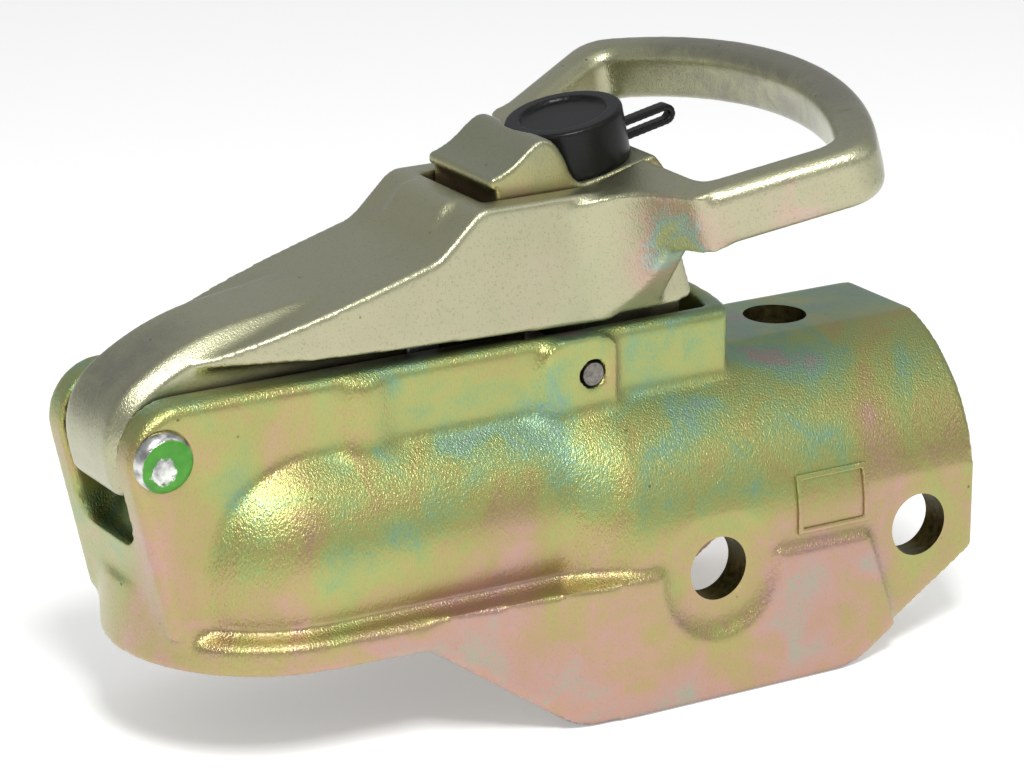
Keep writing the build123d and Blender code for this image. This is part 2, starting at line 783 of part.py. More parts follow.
# Trigger: a thumb pad, a seat for the lock and an arm with a hook that holds the catch pin
with BuildPart() as trigger:
    with BuildSketch(Plane.XZ):
        with BuildLine():
            pad = Spline(
                (trigger_lip_x, trigger_lip_z),
                (trigger_pad_x, trigger_pad_z),
                (trigger_ridge_x, trigger_ridge_z),
                (trigger_fall_x, trigger_fall_z),
                (trigger_saddle_x, seat_height(trigger_saddle_x)),
                tangents=[
                    (cos(radians(trigger_lip_rise)), sin(radians(trigger_lip_rise))),
                    (cos(radians(lock_lean)), sin(radians(lock_lean))),
                ],
            )
            Polyline(
                pad @ 1,
                (trigger_tail_x, seat_height(trigger_tail_x)),
                (trigger_end_x, trigger_end_z),
                (trigger_end_x, hook_heel_z),
                (hook_toe_x, hook_bottom_z),
                (hook_face_x, hook_bottom_z),
                (tooth_tip_x, tooth_top_z - tooth_tip),
                (tooth_tip_x, tooth_top_z),
                (hook_face_x, tooth_top_z),
                (hook_face_x, hook_neck_z),
                (hook_root_x, trigger_under_z),
                (trigger_lip_x + trigger_chin, trigger_under_z),
                (trigger_lip_x + trigger_chin, trigger_lip_z - trigger_lip_thickness),
                (trigger_lip_x, trigger_lip_z - trigger_lip_thickness),
                (trigger_lip_x, trigger_lip_z),
            )
        make_face()
    extrude(amount=trigger_half_width, both=True)
    # Round seat for the cap, with the lock's boss standing in it
    with BuildSketch(lock_seat):
        Circle(cap_radius + cap_clearance)
    extrude(amount=lock_boss_height + cap_height, mode=Mode.SUBTRACT)
    with BuildSketch(lock_seat):
        Circle(lock_boss_radius)
    extrude(amount=lock_boss_height)
    with BuildSketch(lock_seat.offset(lock_boss_height)):
        Circle(lock_body_radius + seat_clearance)
    extrude(amount=-lock_body_length - lock_room, mode=Mode.SUBTRACT)
    with BuildSketch(Plane.XY.offset(trigger_under_z)):
        with Locations((trigger_spring_x, 0)):
            Circle(spring_seat_radius)
    extrude(amount=trigger_spring_seat, mode=Mode.SUBTRACT)
    with BuildSketch(cross_plane(trigger_pin_x, trigger_pin_z)):
        Circle(trigger_pin_radius + running_clearance)
    extrude(amount=trigger_half_width, both=True, mode=Mode.SUBTRACT)
trigger.part.label = "trigger"
export_step(trigger.part, "parts/trigger.step")

# Pin that carries the trigger in the handle
with BuildPart() as trigger_pin:
    with BuildSketch(cross_plane(trigger_pin_x, trigger_pin_z).offset(-wing_half_width)):
        Circle(trigger_pin_radius)
    extrude(amount=trigger_pin_length)
    chamfer(trigger_pin.edges().filter_by(GeomType.CIRCLE), pin_chamfer)
trigger_pin.part.label = "trigger_pin"
export_step(trigger_pin.part, "parts/trigger_pin.step")

# Pin that carries the jaw in the handle
with BuildPart() as jaw_pin:
    with BuildSketch(cross_plane(jaw_pin_x, jaw_pin_z)):
        Circle(jaw_pin_radius)
    extrude(amount=neck_half_width, both=True)
    chamfer(jaw_pin.edges().filter_by(GeomType.CIRCLE), pin_chamfer)
jaw_pin.part.label = "jaw_pin"
export_step(jaw_pin.part, "parts/jaw_pin.step")

# Ball jaw: a lug in the handle and a hollow face that closes behind and under the ball
with BuildPart() as ball_jaw:
    with BuildSketch(Plane.XZ):
        Polygon(
            (jaw_lug_front_x, neck_under_z - jaw_shoulder_gap),
            (jaw_lug_rear_x, neck_under_z - jaw_shoulder_gap),
            (jaw_rear_x, jaw_rear_z),
            (jaw_heel_x, jaw_heel_z),
            (jaw_tip_x + jaw_tip_width, jaw_tip_z),
            (jaw_tip_x, jaw_tip_z),
            align=None,
        )
    extrude(amount=jaw_half_width, both=True)
    with BuildSketch(Plane.XZ) as lug_side:
        with Locations((jaw_lug_front_x, jaw_lug_top_z)):
            Rectangle(
                jaw_lug_rear_x - jaw_lug_front_x,
                jaw_lug_top_z - neck_under_z + jaw_lug_root,
                align=(Align.MIN, Align.MAX),
            )
    extrude(amount=jaw_lug_half_width, both=True)
    Sphere(socket_radius, mode=Mode.SUBTRACT)
    with BuildSketch(cross_plane(jaw_pin_x, jaw_pin_z)):
        Circle(jaw_pin_radius + seat_clearance)
    extrude(amount=jaw_lug_half_width, both=True, mode=Mode.SUBTRACT)
ball_jaw.part.label = "ball_jaw"
export_step(ball_jaw.part, "parts/ball_jaw.step")

# Torsion spring round the pivot pin, one leg under the handle and one on the cup
with BuildPart() as handle_spring:
    with BuildLine() as pivot_wire:
        coil = Helix(
            pivot_spring_pitch,
            pivot_spring_height,
            pivot_spring_radius,
            center=(pivot_x, -pivot_spring_height / 2, pivot_z),
            direction=(0, 1, 0),
            lefthand=True,
        )
        Line(coil @ 0 - pivot_spring_top_leg * (coil % 0), coil @ 0)
        Line(coil @ 1, coil @ 1 + pivot_spring_low_leg * (coil % 1))
    with BuildSketch(Plane(pivot_wire.line @ 0, z_dir=pivot_wire.line % 0)):
        Circle(pivot_spring_wire)
    sweep(path=pivot_wire.line)
handle_spring.part.label = "handle_spring"
export_step(handle_spring.part, "parts/handle_spring.step")

# Coil spring under the thumb pad
with BuildPart() as trigger_spring:
    with BuildLine(Plane((trigger_spring_x, 0, trigger_spring_foot_z))) as pad_wire:
        pad_coil = Helix(
            trigger_spring_length / trigger_spring_turns, trigger_spring_length, trigger_spring_radius
        )
    with BuildSketch(Plane(pad_wire.line @ 0, z_dir=pad_wire.line % 0)):
        Circle(trigger_spring_wire)
    sweep(path=pad_wire.line)
trigger_spring.part.label = "trigger_spring"
export_step(trigger_spring.part, "parts/trigger_spring.step")

# Lock body, pressed into the trigger
with BuildPart() as lock_body:
    with BuildSketch(lock_foot):
        Circle(lock_body_radius)
        Circle(plug_radius + running_clearance, mode=Mode.SUBTRACT)
    extrude(amount=lock_body_length)
    with BuildSketch(lock_seat.offset(lock_boss_height)):
        Circle(plug_flange_radius + running_clearance)
    extrude(amount=-plug_flange - running_clearance, mode=Mode.SUBTRACT)
lock_body.part.label = "lock_body"
export_step(lock_body.part, "parts/lock_body.step")

# Lock plug, with its keyway, its wafer slots and a square tail
with BuildPart() as lock_plug:
    with BuildSketch(lock_foot):
        Circle(plug_radius)
    extrude(amount=lock_body_length)
    with BuildSketch(lock_seat.offset(lock_boss_height)):
        Circle(plug_flange_radius)
    extrude(amount=-plug_flange)
    with BuildSketch(lock_foot):
        Rectangle(plug_tail_width, plug_tail_width)
    extrude(amount=-cam_gap - cam_thickness)
    with BuildSketch(lock_seat.offset(lock_boss_height)):
        Rectangle(key_width, key_height)
    extrude(amount=-key_depth, mode=Mode.SUBTRACT)
    for wafer in range(wafer_count):
        with BuildSketch(wafer_plane(wafer)):
            Rectangle(wafer_width + 2 * running_clearance, 2 * plug_radius)
        extrude(amount=-wafer_thickness - 2 * running_clearance, mode=Mode.SUBTRACT)
    with BuildSketch(cam_plane):
        Circle(cam_screw_radius + seat_clearance)
    extrude(amount=cam_screw_length + seat_clearance, mode=Mode.SUBTRACT)
lock_plug.part.label = "lock_plug"
export_step(lock_plug.part, "parts/lock_plug.step")

# Wafers in the plug, each with a window for the key
with BuildPart() as lock_wafers:
    for wafer in range(wafer_count):
        with BuildSketch(wafer_plane(wafer).offset(-running_clearance)):
            Rectangle(wafer_width, wafer_height)
            Rectangle(key_width + 2 * running_clearance, key_height, mode=Mode.SUBTRACT)
        extrude(amount=-wafer_thickness)
lock_wafers.part.label = "lock_wafers"
export_step(lock_wafers.part, "parts/lock_wafers.step")

# Cam on the plug's tail
with BuildPart() as lock_cam:
    with BuildSketch(cam_plane):
        Circle(cam_radius)
        Rectangle(cam_reach, cam_width, align=(Align.MIN, Align.CENTER))
        Rectangle(
            plug_tail_width + 2 * seat_clearance, plug_tail_width + 2 * seat_clearance, mode=Mode.SUBTRACT
        )
    extrude(amount=cam_thickness)
lock_cam.part.label = "lock_cam"
export_step(lock_cam.part, "parts/lock_cam.step")

# Screw that holds the cam and, with it, the plug
with BuildPart() as lock_cam_screw:
    with BuildSketch(cam_plane):
        Circle(cam_screw_radius)
    extrude(amount=cam_screw_length)
    with BuildSketch(cam_plane):
        Circle(cam_screw_head_radius)
    extrude(amount=-cam_screw_head)
    with BuildSketch(cam_plane.offset(-cam_screw_head)):
        Rectangle(2 * cam_screw_head_radius, screw_slot)
    extrude(amount=cam_screw_head / 2, mode=Mode.SUBTRACT)
lock_cam_screw.part.label = "lock_cam_screw"
export_step(lock_cam_screw.part, "parts/lock_cam_screw.step")

# Dust cap over the lock's boss, with a pull strap at the rear
with BuildPart() as dust_cap:
    with BuildSketch(lock_seat.offset(cap_seat_gap)):
        Circle(cap_radius)
    extrude(amount=cap_height - cap_seat_gap)
    fillet(dust_cap.edges().filter_by(GeomType.CIRCLE).sort_by(Axis.Z)[-1], cap_edge)
    with BuildSketch(lock_seat.offset(cap_height)):
        Circle(cap_dish_radius)
    extrude(amount=-cap_dish_depth, mode=Mode.SUBTRACT)
    with BuildSketch(strap_plane):
        SlotOverall(strap_length, strap_height)
        SlotOverall(strap_length - 2 * strap_band, strap_height - 2 * strap_band, mode=Mode.SUBTRACT)
    extrude(amount=strap_width / 2, both=True)
    with BuildSketch(lock_seat.offset(cap_seat_gap)):
        Circle(lock_boss_radius + running_clearance)
    extrude(amount=lock_boss_height + cap_crown_gap - cap_seat_gap, mode=Mode.SUBTRACT)
dust_cap.part.label = "dust_cap"
export_step(dust_cap.part, "parts/dust_cap.step")
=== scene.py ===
# %% [markdown]
# # A trailer coupling head
# The coupling head is two iron castings, a housing and a lift handle, with a cast thumb trigger, a few
# pins and a black dust cap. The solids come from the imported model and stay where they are. This lesson
# dresses them: soft cast edges, zinc with a yellow passivation, worn paint on the rivet.

# %% Load the frame
import json
from math import cos, radians, sin

import bpy
from mathutils import Matrix, Vector

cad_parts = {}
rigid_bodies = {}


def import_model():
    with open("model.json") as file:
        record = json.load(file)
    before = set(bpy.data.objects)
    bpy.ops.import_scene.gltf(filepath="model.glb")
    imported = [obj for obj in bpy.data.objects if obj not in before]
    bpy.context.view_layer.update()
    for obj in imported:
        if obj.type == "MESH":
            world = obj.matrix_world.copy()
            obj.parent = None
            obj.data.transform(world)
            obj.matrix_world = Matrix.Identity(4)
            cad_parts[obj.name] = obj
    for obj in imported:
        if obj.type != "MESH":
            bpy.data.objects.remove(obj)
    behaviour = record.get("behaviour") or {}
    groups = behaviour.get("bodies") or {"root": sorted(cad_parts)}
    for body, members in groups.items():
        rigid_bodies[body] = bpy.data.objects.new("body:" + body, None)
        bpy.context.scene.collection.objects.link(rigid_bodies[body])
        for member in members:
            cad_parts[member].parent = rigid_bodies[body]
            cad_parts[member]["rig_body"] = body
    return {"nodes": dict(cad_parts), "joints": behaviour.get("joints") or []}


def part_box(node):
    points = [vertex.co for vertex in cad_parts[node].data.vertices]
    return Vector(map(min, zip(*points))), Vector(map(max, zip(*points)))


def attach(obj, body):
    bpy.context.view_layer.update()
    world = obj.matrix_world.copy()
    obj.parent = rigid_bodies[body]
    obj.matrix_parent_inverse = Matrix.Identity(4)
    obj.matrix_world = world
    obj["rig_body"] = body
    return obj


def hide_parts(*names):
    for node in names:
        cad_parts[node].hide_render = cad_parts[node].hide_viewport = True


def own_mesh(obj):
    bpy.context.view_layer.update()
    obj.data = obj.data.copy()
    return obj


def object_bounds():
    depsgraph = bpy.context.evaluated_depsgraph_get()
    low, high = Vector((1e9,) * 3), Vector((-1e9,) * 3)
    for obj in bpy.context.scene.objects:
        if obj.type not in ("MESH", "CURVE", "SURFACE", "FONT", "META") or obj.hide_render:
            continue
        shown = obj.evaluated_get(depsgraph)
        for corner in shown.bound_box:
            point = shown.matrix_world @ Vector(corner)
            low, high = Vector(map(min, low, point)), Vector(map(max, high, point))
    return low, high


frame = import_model()
cad_low, cad_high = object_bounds()
mm = 0.001
print("frame loaded:", len(frame["nodes"]), "nodes", [round(v / mm, 1) for v in cad_high - cad_low], "mm")

# %% [markdown]
# ## Working by hand, in code
# Operators act on whatever is selected, so each step first clears the selection and then takes one
# object. The two short helpers below do that, and apply a modifier once it is set up. A modifier could
# stay live, but each next step works on the finished mesh.

# %% Select one object, apply one modifier
def take(obj):
    """Selects obj alone and makes it the active object."""
    bpy.ops.object.select_all(action="DESELECT")
    obj.select_set(True)
    bpy.context.view_layer.objects.active = obj


def apply_modifier(obj, kind, **settings):
    """Adds a modifier with its settings and applies it to the mesh."""
    take(obj)
    modifier = obj.modifiers.new(kind.lower(), kind)
    for name, value in settings.items():
        setattr(modifier, name, value)
    bpy.ops.object.modifier_apply(modifier=modifier.name)


take(frame["nodes"]["housing"])
print("selected:", [obj.name for obj in bpy.context.selected_objects])

# %% [markdown]
# ## The camera
# The photograph was taken with a long lens from the front left, a little above the part. The camera
# stands on a line through a point in the middle of the part, so only two angles, a distance and the
# lens have to be known.

# %% Camera
view_azimuth = radians(30.95)
view_elevation = radians(18.23)
view_distance = 873 * mm
view_target = Vector((60, -3.9, 25.3)) * mm
view_lens_mm = 140.6

look = Vector((
    sin(view_azimuth) * cos(view_elevation),
    cos(view_azimuth) * cos(view_elevation),
    -sin(view_elevation),
))
bpy.ops.object.camera_add(
    location=view_target - view_distance * look, rotation=look.to_track_quat("-Z", "Y").to_euler()
)
camera = bpy.context.object
camera.name = "camera"
camera.data.lens = view_lens_mm
camera.data.clip_start = 10 * mm
bpy.context.scene.camera = camera
bpy.context.scene.view_settings.view_transform = "Standard"
print("camera", view_lens_mm, "mm lens,", round(view_distance / mm), "mm away")

# %% [markdown]
# ## Colours and nodes
# Colours are written as sRGB hex values, as a colour picker shows them, and one function turns them to
# the linear values that the shaders use. A second function adds a node, sets it up and links it.

# %% Colour and node helpers
def rgb(hex_colour):
    """An sRGB hex colour as linear RGBA."""
    channels = [int(hex_colour[i:i + 2], 16) / 255 for i in (1, 3, 5)]
    return [c / 12.92 if c <= 0.04045 else ((c + 0.055) / 1.055) ** 2.4 for c in channels] + [1.0]


def add_node(tree, kind, links=None, stops=None, **settings):
    """Adds a node, with its settings, its links or socket values, and the stops of a colour ramp."""
    made = tree.nodes.new(kind)
    for name, value in settings.items():
        setattr(made, name, value)
    for socket, value in (links or {}).items():
        if isinstance(value, bpy.types.NodeSocket):
            tree.links.new(value, made.inputs[socket])
        else:
            made.inputs[socket].default_value = value
    for index, (place, colour) in enumerate(stops or []):
        band = made.color_ramp.elements
        element = band[index] if index < len(band) else band.new(place)
        element.position = place
        element.color = rgb(colour)
    return made


def new_material(name):
    """A material with an empty tree, its output and its Object coordinates."""
    material = bpy.data.materials.new(name)
    material.use_nodes = True
    tree = material.node_tree
    tree.nodes.clear()
    output = add_node(tree, "ShaderNodeOutputMaterial")
    place = add_node(tree, "ShaderNodeTexCoord").outputs["Object"]
    return material, tree, output, place


def per_mm(size):
    """The scale of a pattern whose features are this many millimetres across."""
    return 1 / (size * mm)


print("mid grey #808080 is", round(rgb("#808080")[0], 3), "in linear light")

# %% [markdown]
# ## The floor and the light
# The part stands on a light table: a white floor that glows a little, so it stays white behind the part
# and is mirrored in the upright faces. The sky is a plain grey, which keeps the upper faces darker than
# the sides, as in the photograph. One soft box, high on the camera's side, gives the sparkle on the
# rounded edges, and two weak large ones, to the right and overhead, lift the tube and the shoulders.

# %% Floor, sky and lamps
floor_metres = 12.0
bpy.ops.mesh.primitive_plane_add(size=floor_metres, location=(0, 0, cad_low.z))
floor = bpy.context.object
floor.name = "floor"
floor_paint, tree, output, _ = new_material("white_light_table")
paper = add_node(tree, "ShaderNodeBsdfDiffuse", {"Color": rgb("#F4F4F2")})
glow = add_node(tree, "ShaderNodeEmission", {"Color": rgb("#FFFFFF"), "Strength": 0.34})
table = add_node(tree, "ShaderNodeAddShader", {0: paper.outputs[0], 1: glow.outputs[0]})
tree.links.new(table.outputs[0], output.inputs["Surface"])
floor.data.materials.append(floor_paint)

sky = bpy.data.worlds.new("studio_sky")
bpy.context.scene.world = sky
sky.use_nodes = True
sky.node_tree.nodes["Background"].inputs["Color"].default_value = rgb("#F2F4F6")
sky.node_tree.nodes["Background"].inputs["Strength"].default_value = 0.48


def soft_lamp(name, place_mm, aim_mm, size_mm, watts):
    """A square soft box at a place, turned towards a point on the part."""
    towards = (Vector(aim_mm) - Vector(place_mm)).to_track_quat("-Z", "Y").to_euler()
    bpy.ops.object.light_add(type="AREA", location=Vector(place_mm) * mm, rotation=towards)
    lamp = bpy.context.object
    lamp.name = name
    lamp.data.size = size_mm * mm
    lamp.data.energy = watts


lamp_aim = (60, 0, 20)
soft_lamp("key_lamp", (-200, -560, 700), lamp_aim, size_mm=200, watts=6.5)
soft_lamp("side_lamp", (640, -810, 640), lamp_aim, size_mm=600, watts=1.3)
soft_lamp("top_lamp", (40, -120, 900), lamp_aim, size_mm=700, watts=0.9)
print("floor at", round(cad_low.z / mm, 1), "mm, three soft boxes")

# %% [markdown]
# ## Zinc with a yellow passivation
# Cast iron is zinc plated and dipped in a chromate bath. The film that is left is thin enough to show
# colours, as oil on water does: pink and tan on the upright faces, straw, green and teal where the bath
# ran off more slowly from the upper ones. A shader's thin film could give such colours by its thickness,
# but they are hard to steer. So one colour ramp holds the colours in the film's order, and the place on
# it comes from how far the surface faces up, its height, two slow noises and the grain. Round a few
# places the film has bloomed, and is shifted further.
#
# The small trigger has more gold in its film, in a band just above the deck, and a grey green on its top.
#
# The grain of the casting is short strokes, about half as wide as long. They are strong on the rounded
# forms and weak on the flat sides, and drawn a little coarser than real, so that they show at this size.

# %% Passivated zinc material
# Sizes of the film's drifts, clouds and ripples, of its climb, of the casting's faults, and the reach of the
# painted shade in hollows
drift_mm = 36
cloud_mm = 13
ripple_mm = 11
climb_mm = 40
pit_mm = 0.45
blow_hole_apart_mm = 10
shelter_mm = 10
stroke_stretch = 2.2
stroke_lean = radians(14)


def passivated_zinc(
    name, film, upright, upward, climb, drifts, roughness, stroke_mm, depth_mm, pitting,
    painted_shade=0.92, bloom=(),
):
    """Plated cast iron: a film of drifting colours, a cast grain, pale edges, painted shade in the hollows,
    and pits.
    """
    material, tree, output, place = new_material(name)
    normal = add_node(tree, "ShaderNodeTexCoord").outputs["Normal"]
    facing = add_node(tree, "ShaderNodeSeparateXYZ", {0: normal})
    facing_up = add_node(tree, "ShaderNodeMath", {0: facing.outputs["Z"], 1: 0.0}, operation="MAXIMUM")
    height = add_node(tree, "ShaderNodeSeparateXYZ", {0: place})
    drift = add_node(tree, "ShaderNodeTexNoise", {
        "Vector": place, "Scale": per_mm(drift_mm), "Detail": 3.0, "Roughness": 0.5, "Distortion": 0.8,
    })
    cloud = add_node(tree, "ShaderNodeTexNoise", {
        "Vector": place, "Scale": per_mm(cloud_mm), "Detail": 3.0, "Roughness": 0.5, "Distortion": 1.2,
    })
    stretched = add_node(tree, "ShaderNodeMapping", {
        "Vector": place, "Rotation": (0, stroke_lean, 0),
        "Scale": (per_mm(stroke_mm), per_mm(stroke_mm), per_mm(stroke_stretch * stroke_mm)),
    })
    strokes = add_node(tree, "ShaderNodeTexNoise", {
        "Vector": stretched.outputs[0], "Scale": 1.0, "Detail": 2.0, "Roughness": 0.55, "Distortion": 0.4,
    })

    # The place on the film's ramp: its own value on an upright face, more on an upper one
    along = upright
    for source, amount, middle in (
        (facing_up.outputs[0], upward, 0.0),
        (height.outputs["Z"], climb / (climb_mm * mm), 0.0),
        (drift.outputs["Fac"], drifts, 0.5),
        (cloud.outputs["Fac"], drifts / 2, 0.5),
        (strokes.outputs["Fac"], drifts / 2, 0.5),
    ):
        along = add_node(tree, "ShaderNodeMath", {
            0: add_node(tree, "ShaderNodeMath", {0: source, 1: middle}, operation="SUBTRACT").outputs[0],
            1: amount, 2: along,
        }, operation="MULTIPLY_ADD").outputs[0]

    # A bloom fades with the distance from its centre. A ripple's mean is a half, so the shift is doubled
    ripple = add_node(tree, "ShaderNodeTexNoise", {
        "Vector": place, "Scale": per_mm(ripple_mm), "Detail": 3.0, "Roughness": 0.5, "Distortion": 2.0,
    })
    for centre, reach, shift in bloom:
        offset = add_node(tree, "ShaderNodeVectorMath", {
            0: place, 1: Vector(centre) * mm,
        }, operation="DISTANCE")
        share = add_node(tree, "ShaderNodeMapRange", {
            "Value": offset.outputs["Value"], "From Min": 0.0, "From Max": reach * mm,
            "To Min": 2 * shift, "To Max": 0.0,
        }, interpolation_type="SMOOTHSTEP")
        along = add_node(tree, "ShaderNodeMath", {
            0: share.outputs[0], 1: ripple.outputs["Fac"], 2: along,
        }, operation="MULTIPLY_ADD").outputs[0]
    colour = add_node(tree, "ShaderNodeValToRGB", {"Fac": along}, stops=film).outputs["Color"]

    # Edges are a little paler and inside corners darker, by the bend of the surface, and a few blow holes and
    # fine pits are dark
    bend = add_node(tree, "ShaderNodeNewGeometry").outputs["Pointiness"]
    bend_tone = add_node(tree, "ShaderNodeValToRGB", {"Fac": bend}, stops=[
        (0.43, "#75695A"), (0.485, "#F2F2F0"), (0.52, "#F6F6F6"), (0.58, "#FFFFFF"),
    ])
    pits = add_node(tree, "ShaderNodeTexNoise", {
        "Vector": place, "Scale": per_mm(pit_mm), "Detail": 1.0, "Roughness": 0.5,
    })
    pitted = add_node(tree, "ShaderNodeMapRange", {
        "Value": pits.outputs["Fac"], "From Min": 0.60, "From Max": 0.72,
        "To Min": 1.0, "To Max": 1.0 - pitting,
    })
    holes = add_node(tree, "ShaderNodeTexVoronoi", {
        "Vector": place, "Scale": per_mm(blow_hole_apart_mm),
    })
    blown = add_node(tree, "ShaderNodeMapRange", {
        "Value": holes.outputs["Distance"], "From Min": 0.02, "From Max": 0.045,
        "To Min": 0.35, "To Max": 1.0,
    })
    for layer in (bend_tone.outputs["Color"], pitted.outputs[0], blown.outputs[0]):
        colour = add_node(tree, "ShaderNodeMix", {
            0: 1.0, 6: colour, 7: layer,
        }, data_type="RGBA", blend_type="MULTIPLY").outputs[2]
    # Painted shade: where the surface is closed in, in gaps, recesses and under overhangs, its colour goes
    # towards a dark brown, as the shadow there
    shelter = add_node(tree, "ShaderNodeAmbientOcclusion", {"Distance": shelter_mm * mm}, samples=6)
    painted_shade_share = add_node(tree, "ShaderNodeMapRange", {
        "Value": shelter.outputs["AO"], "From Min": 0.12, "From Max": 0.46, "To Min": painted_shade, "To Max": 0.0,
    })
    colour = add_node(tree, "ShaderNodeMix", {
        0: painted_shade_share.outputs[0], 6: colour, 7: rgb("#36281A"),
    }, data_type="RGBA").outputs[2]

    # Grain: full depth on rounded forms, a third of it on the flat sides
    sideways = add_node(tree, "ShaderNodeMath", {0: facing.outputs["Y"]}, operation="ABSOLUTE")
    depth = add_node(tree, "ShaderNodeMapRange", {
        "Value": sideways.outputs[0], "From Min": 0.94, "From Max": 0.995, "To Min": 0.95, "To Max": 0.32,
    })
    cast = add_node(tree, "ShaderNodeBump", {
        "Strength": depth.outputs[0], "Distance": depth_mm * mm, "Height": strokes.outputs["Fac"],
    })
    gloss = add_node(tree, "ShaderNodeMapRange", {
        "Value": cloud.outputs["Fac"], "From Min": 0.3, "From Max": 0.7,
        "To Min": roughness - 0.06, "To Max": roughness + 0.07,
    })
    metal = add_node(tree, "ShaderNodeBsdfPrincipled", {
        "Base Color": colour, "Metallic": 0.92, "Roughness": gloss.outputs[0], "Normal": cast.outputs[0],
        "Coat Weight": 0.75, "Coat Roughness": 0.28, "Coat Normal": cast.outputs[0],
    })
    tree.links.new(metal.outputs[0], output.inputs["Surface"])
    return material


yellow_zinc = passivated_zinc(
    "yellow_passivated_cast_iron",
    film=[
        (0.05, "#94A28C"), (0.24, "#BC9087"), (0.36, "#B29771"), (0.47, "#AD9D62"),
        (0.59, "#A5A95F"), (0.70, "#93A96C"), (0.82, "#7AA48C"), (0.95, "#A68C86"),
    ],
    upright=0.46, upward=0.10, climb=0.20, drifts=0.98, roughness=0.38,
    stroke_mm=0.42, depth_mm=0.20, pitting=0.10,
)
pale_zinc = passivated_zinc(
    "pale_passivated_cast_iron",
    film=[
        (0.00, "#BFC296"), (0.11, "#9DBCB8"), (0.24, "#BEA292"), (0.38, "#AFA98B"),
        (0.54, "#AFAD8C"), (0.70, "#ADAD8B"), (0.84, "#A3A284"), (1.00, "#918E7A"),
    ],
    upright=0.50, upward=0.22, climb=0.0, drifts=0.6, roughness=0.34,
    stroke_mm=0.38, depth_mm=0.12, pitting=0.24,
    # Each bloom has its centre and its reach in millimetres, and its shift along the film
    bloom=[
        ((81, -35, 58), 21, -0.48), ((81, 35, 58), 21, -0.48),
        ((105, -52, 67), 24, -0.22), ((105, 52, 67), 24, -0.22),
        ((132, 0, 76), 64, 0.44), ((-30, 0, 34), 26, 0.40),
    ],
)
golden_zinc = passivated_zinc(
    "golden_passivated_cast_iron",
    film=[
        (0.05, "#B0AC8E"), (0.20, "#B79F55"), (0.31, "#B79A7C"), (0.42, "#A9A36E"),
        (0.58, "#A3A279"), (0.72, "#9A9E7E"), (0.86, "#9C9C80"), (1.00, "#A2A08C"),
    ],
    upright=-0.98, upward=0.30, climb=0.77, drifts=0.5, roughness=0.34,
    # The trigger gets less of the painted shade in its hollows
    stroke_mm=0.40, depth_mm=0.16, pitting=0.24, painted_shade=0.35,
)
print("zinc finishes:", yellow_zinc.name, pale_zinc.name, golden_zinc.name)

# %% [markdown]
# ## Copies that stand for solids
# A solid could be reshaped where it is, but it belongs to the model and is left alone. A piece that
# needs a softer shape starts as a copy, with its loose triangles merged. When it is finished, it stands
# for the solid and moves with the solid's body.

# %% Copy a solid, stand for a solid
def copy_solid(node, name):
    """A copy of a solid, with its loose triangles merged."""
    copy = bpy.data.objects.new(name, frame["nodes"][node].data.copy())
    bpy.context.scene.collection.objects.link(copy)
    take(copy)
    bpy.ops.object.mode_set(mode="EDIT")
    bpy.ops.mesh.select_all(action="SELECT")
    bpy.ops.mesh.remove_doubles(threshold=0.001 * mm)
    bpy.ops.object.mode_set(mode="OBJECT")
    return copy


def stand_for(piece, node, finish):
    """Gives a piece its finish, lets it stand for a solid and move with the solid's body."""
    piece.data.materials.clear()
    piece.data.materials.append(finish)
    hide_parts(node)
    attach(piece, frame["nodes"][node]["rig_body"])
    print(piece.name, len(piece.data.polygons), "faces")


print("solids to copy from:", ", ".join(frame["nodes"]))

# %% [markdown]
# ## Soft cast edges
# A sand casting has no sharp edge, but a drilled hole does. A bevel would have to find its way round
# many short edges, so each casting is made in the order of the foundry: a copy of the solid has its bolt
# holes plugged, a voxel remesh and a smoothing round every edge and hollow, and then the holes are
# drilled again. Where a trial smoothing pushes the surface out, there is an inside corner, and those get
# many more rounds, as the fillets of a casting are larger than its edges.

# %% From a solid to a casting
def join_to(obj, others):
    """Joins other objects into obj."""
    take(obj)
    for other in others:
        other.select_set(True)
    bpy.ops.object.join()


def mark_hollows(obj, rounds, full_mm):
    """A vertex group of the inside corners: where a trial smoothing pushes the surface outwards."""
    trial = obj.copy()
    trial.data = obj.data.copy()
    bpy.context.scene.collection.objects.link(trial)
    apply_modifier(trial, "SMOOTH", factor=0.5, iterations=rounds)
    group = obj.vertex_groups.new(name="hollows")
    for before, after in zip(obj.data.vertices, trial.data.vertices):
        push = (after.co - before.co).dot(before.normal) / (full_mm * mm)
        if push > 0:
            group.add([before.index], min(push, 1.0), "REPLACE")
    bpy.data.objects.remove(trial)
    return group.name


def soft_casting(node, name, finish, voxel_mm, rounds, hollow_rounds, share, plugs=(), trims=()):
    """A copy of a solid with every edge rounded as in a casting. It stands for that solid."""
    casting = copy_solid(node, name)
    if plugs:
        join_to(casting, plugs)
    for trim in trims:
        apply_modifier(casting, "BOOLEAN", operation="DIFFERENCE", object=trim, solver="EXACT")
        bpy.data.objects.remove(trim)
    apply_modifier(casting, "REMESH", mode="VOXEL", voxel_size=voxel_mm * mm)
    hollows = mark_hollows(casting, rounds=12, full_mm=0.12)
    apply_modifier(casting, "SMOOTH", factor=0.5, iterations=hollow_rounds, vertex_group=hollows)
    apply_modifier(casting, "SMOOTH", factor=0.5, iterations=rounds)
    if share < 1:
        apply_modifier(casting, "DECIMATE", ratio=share)
    bpy.ops.object.shade_smooth()
    stand_for(casting, node, finish)
    return casting


# %% [markdown]
# ## The housing
# The housing is the large casting: the ball cup, two cheeks, the side bulges and the drawbar's channel.
# Its bores could be masked from the smoothing, but their rims would keep the steps of the voxels. So
# bars plug them first, one in each wall, and the drills come later.

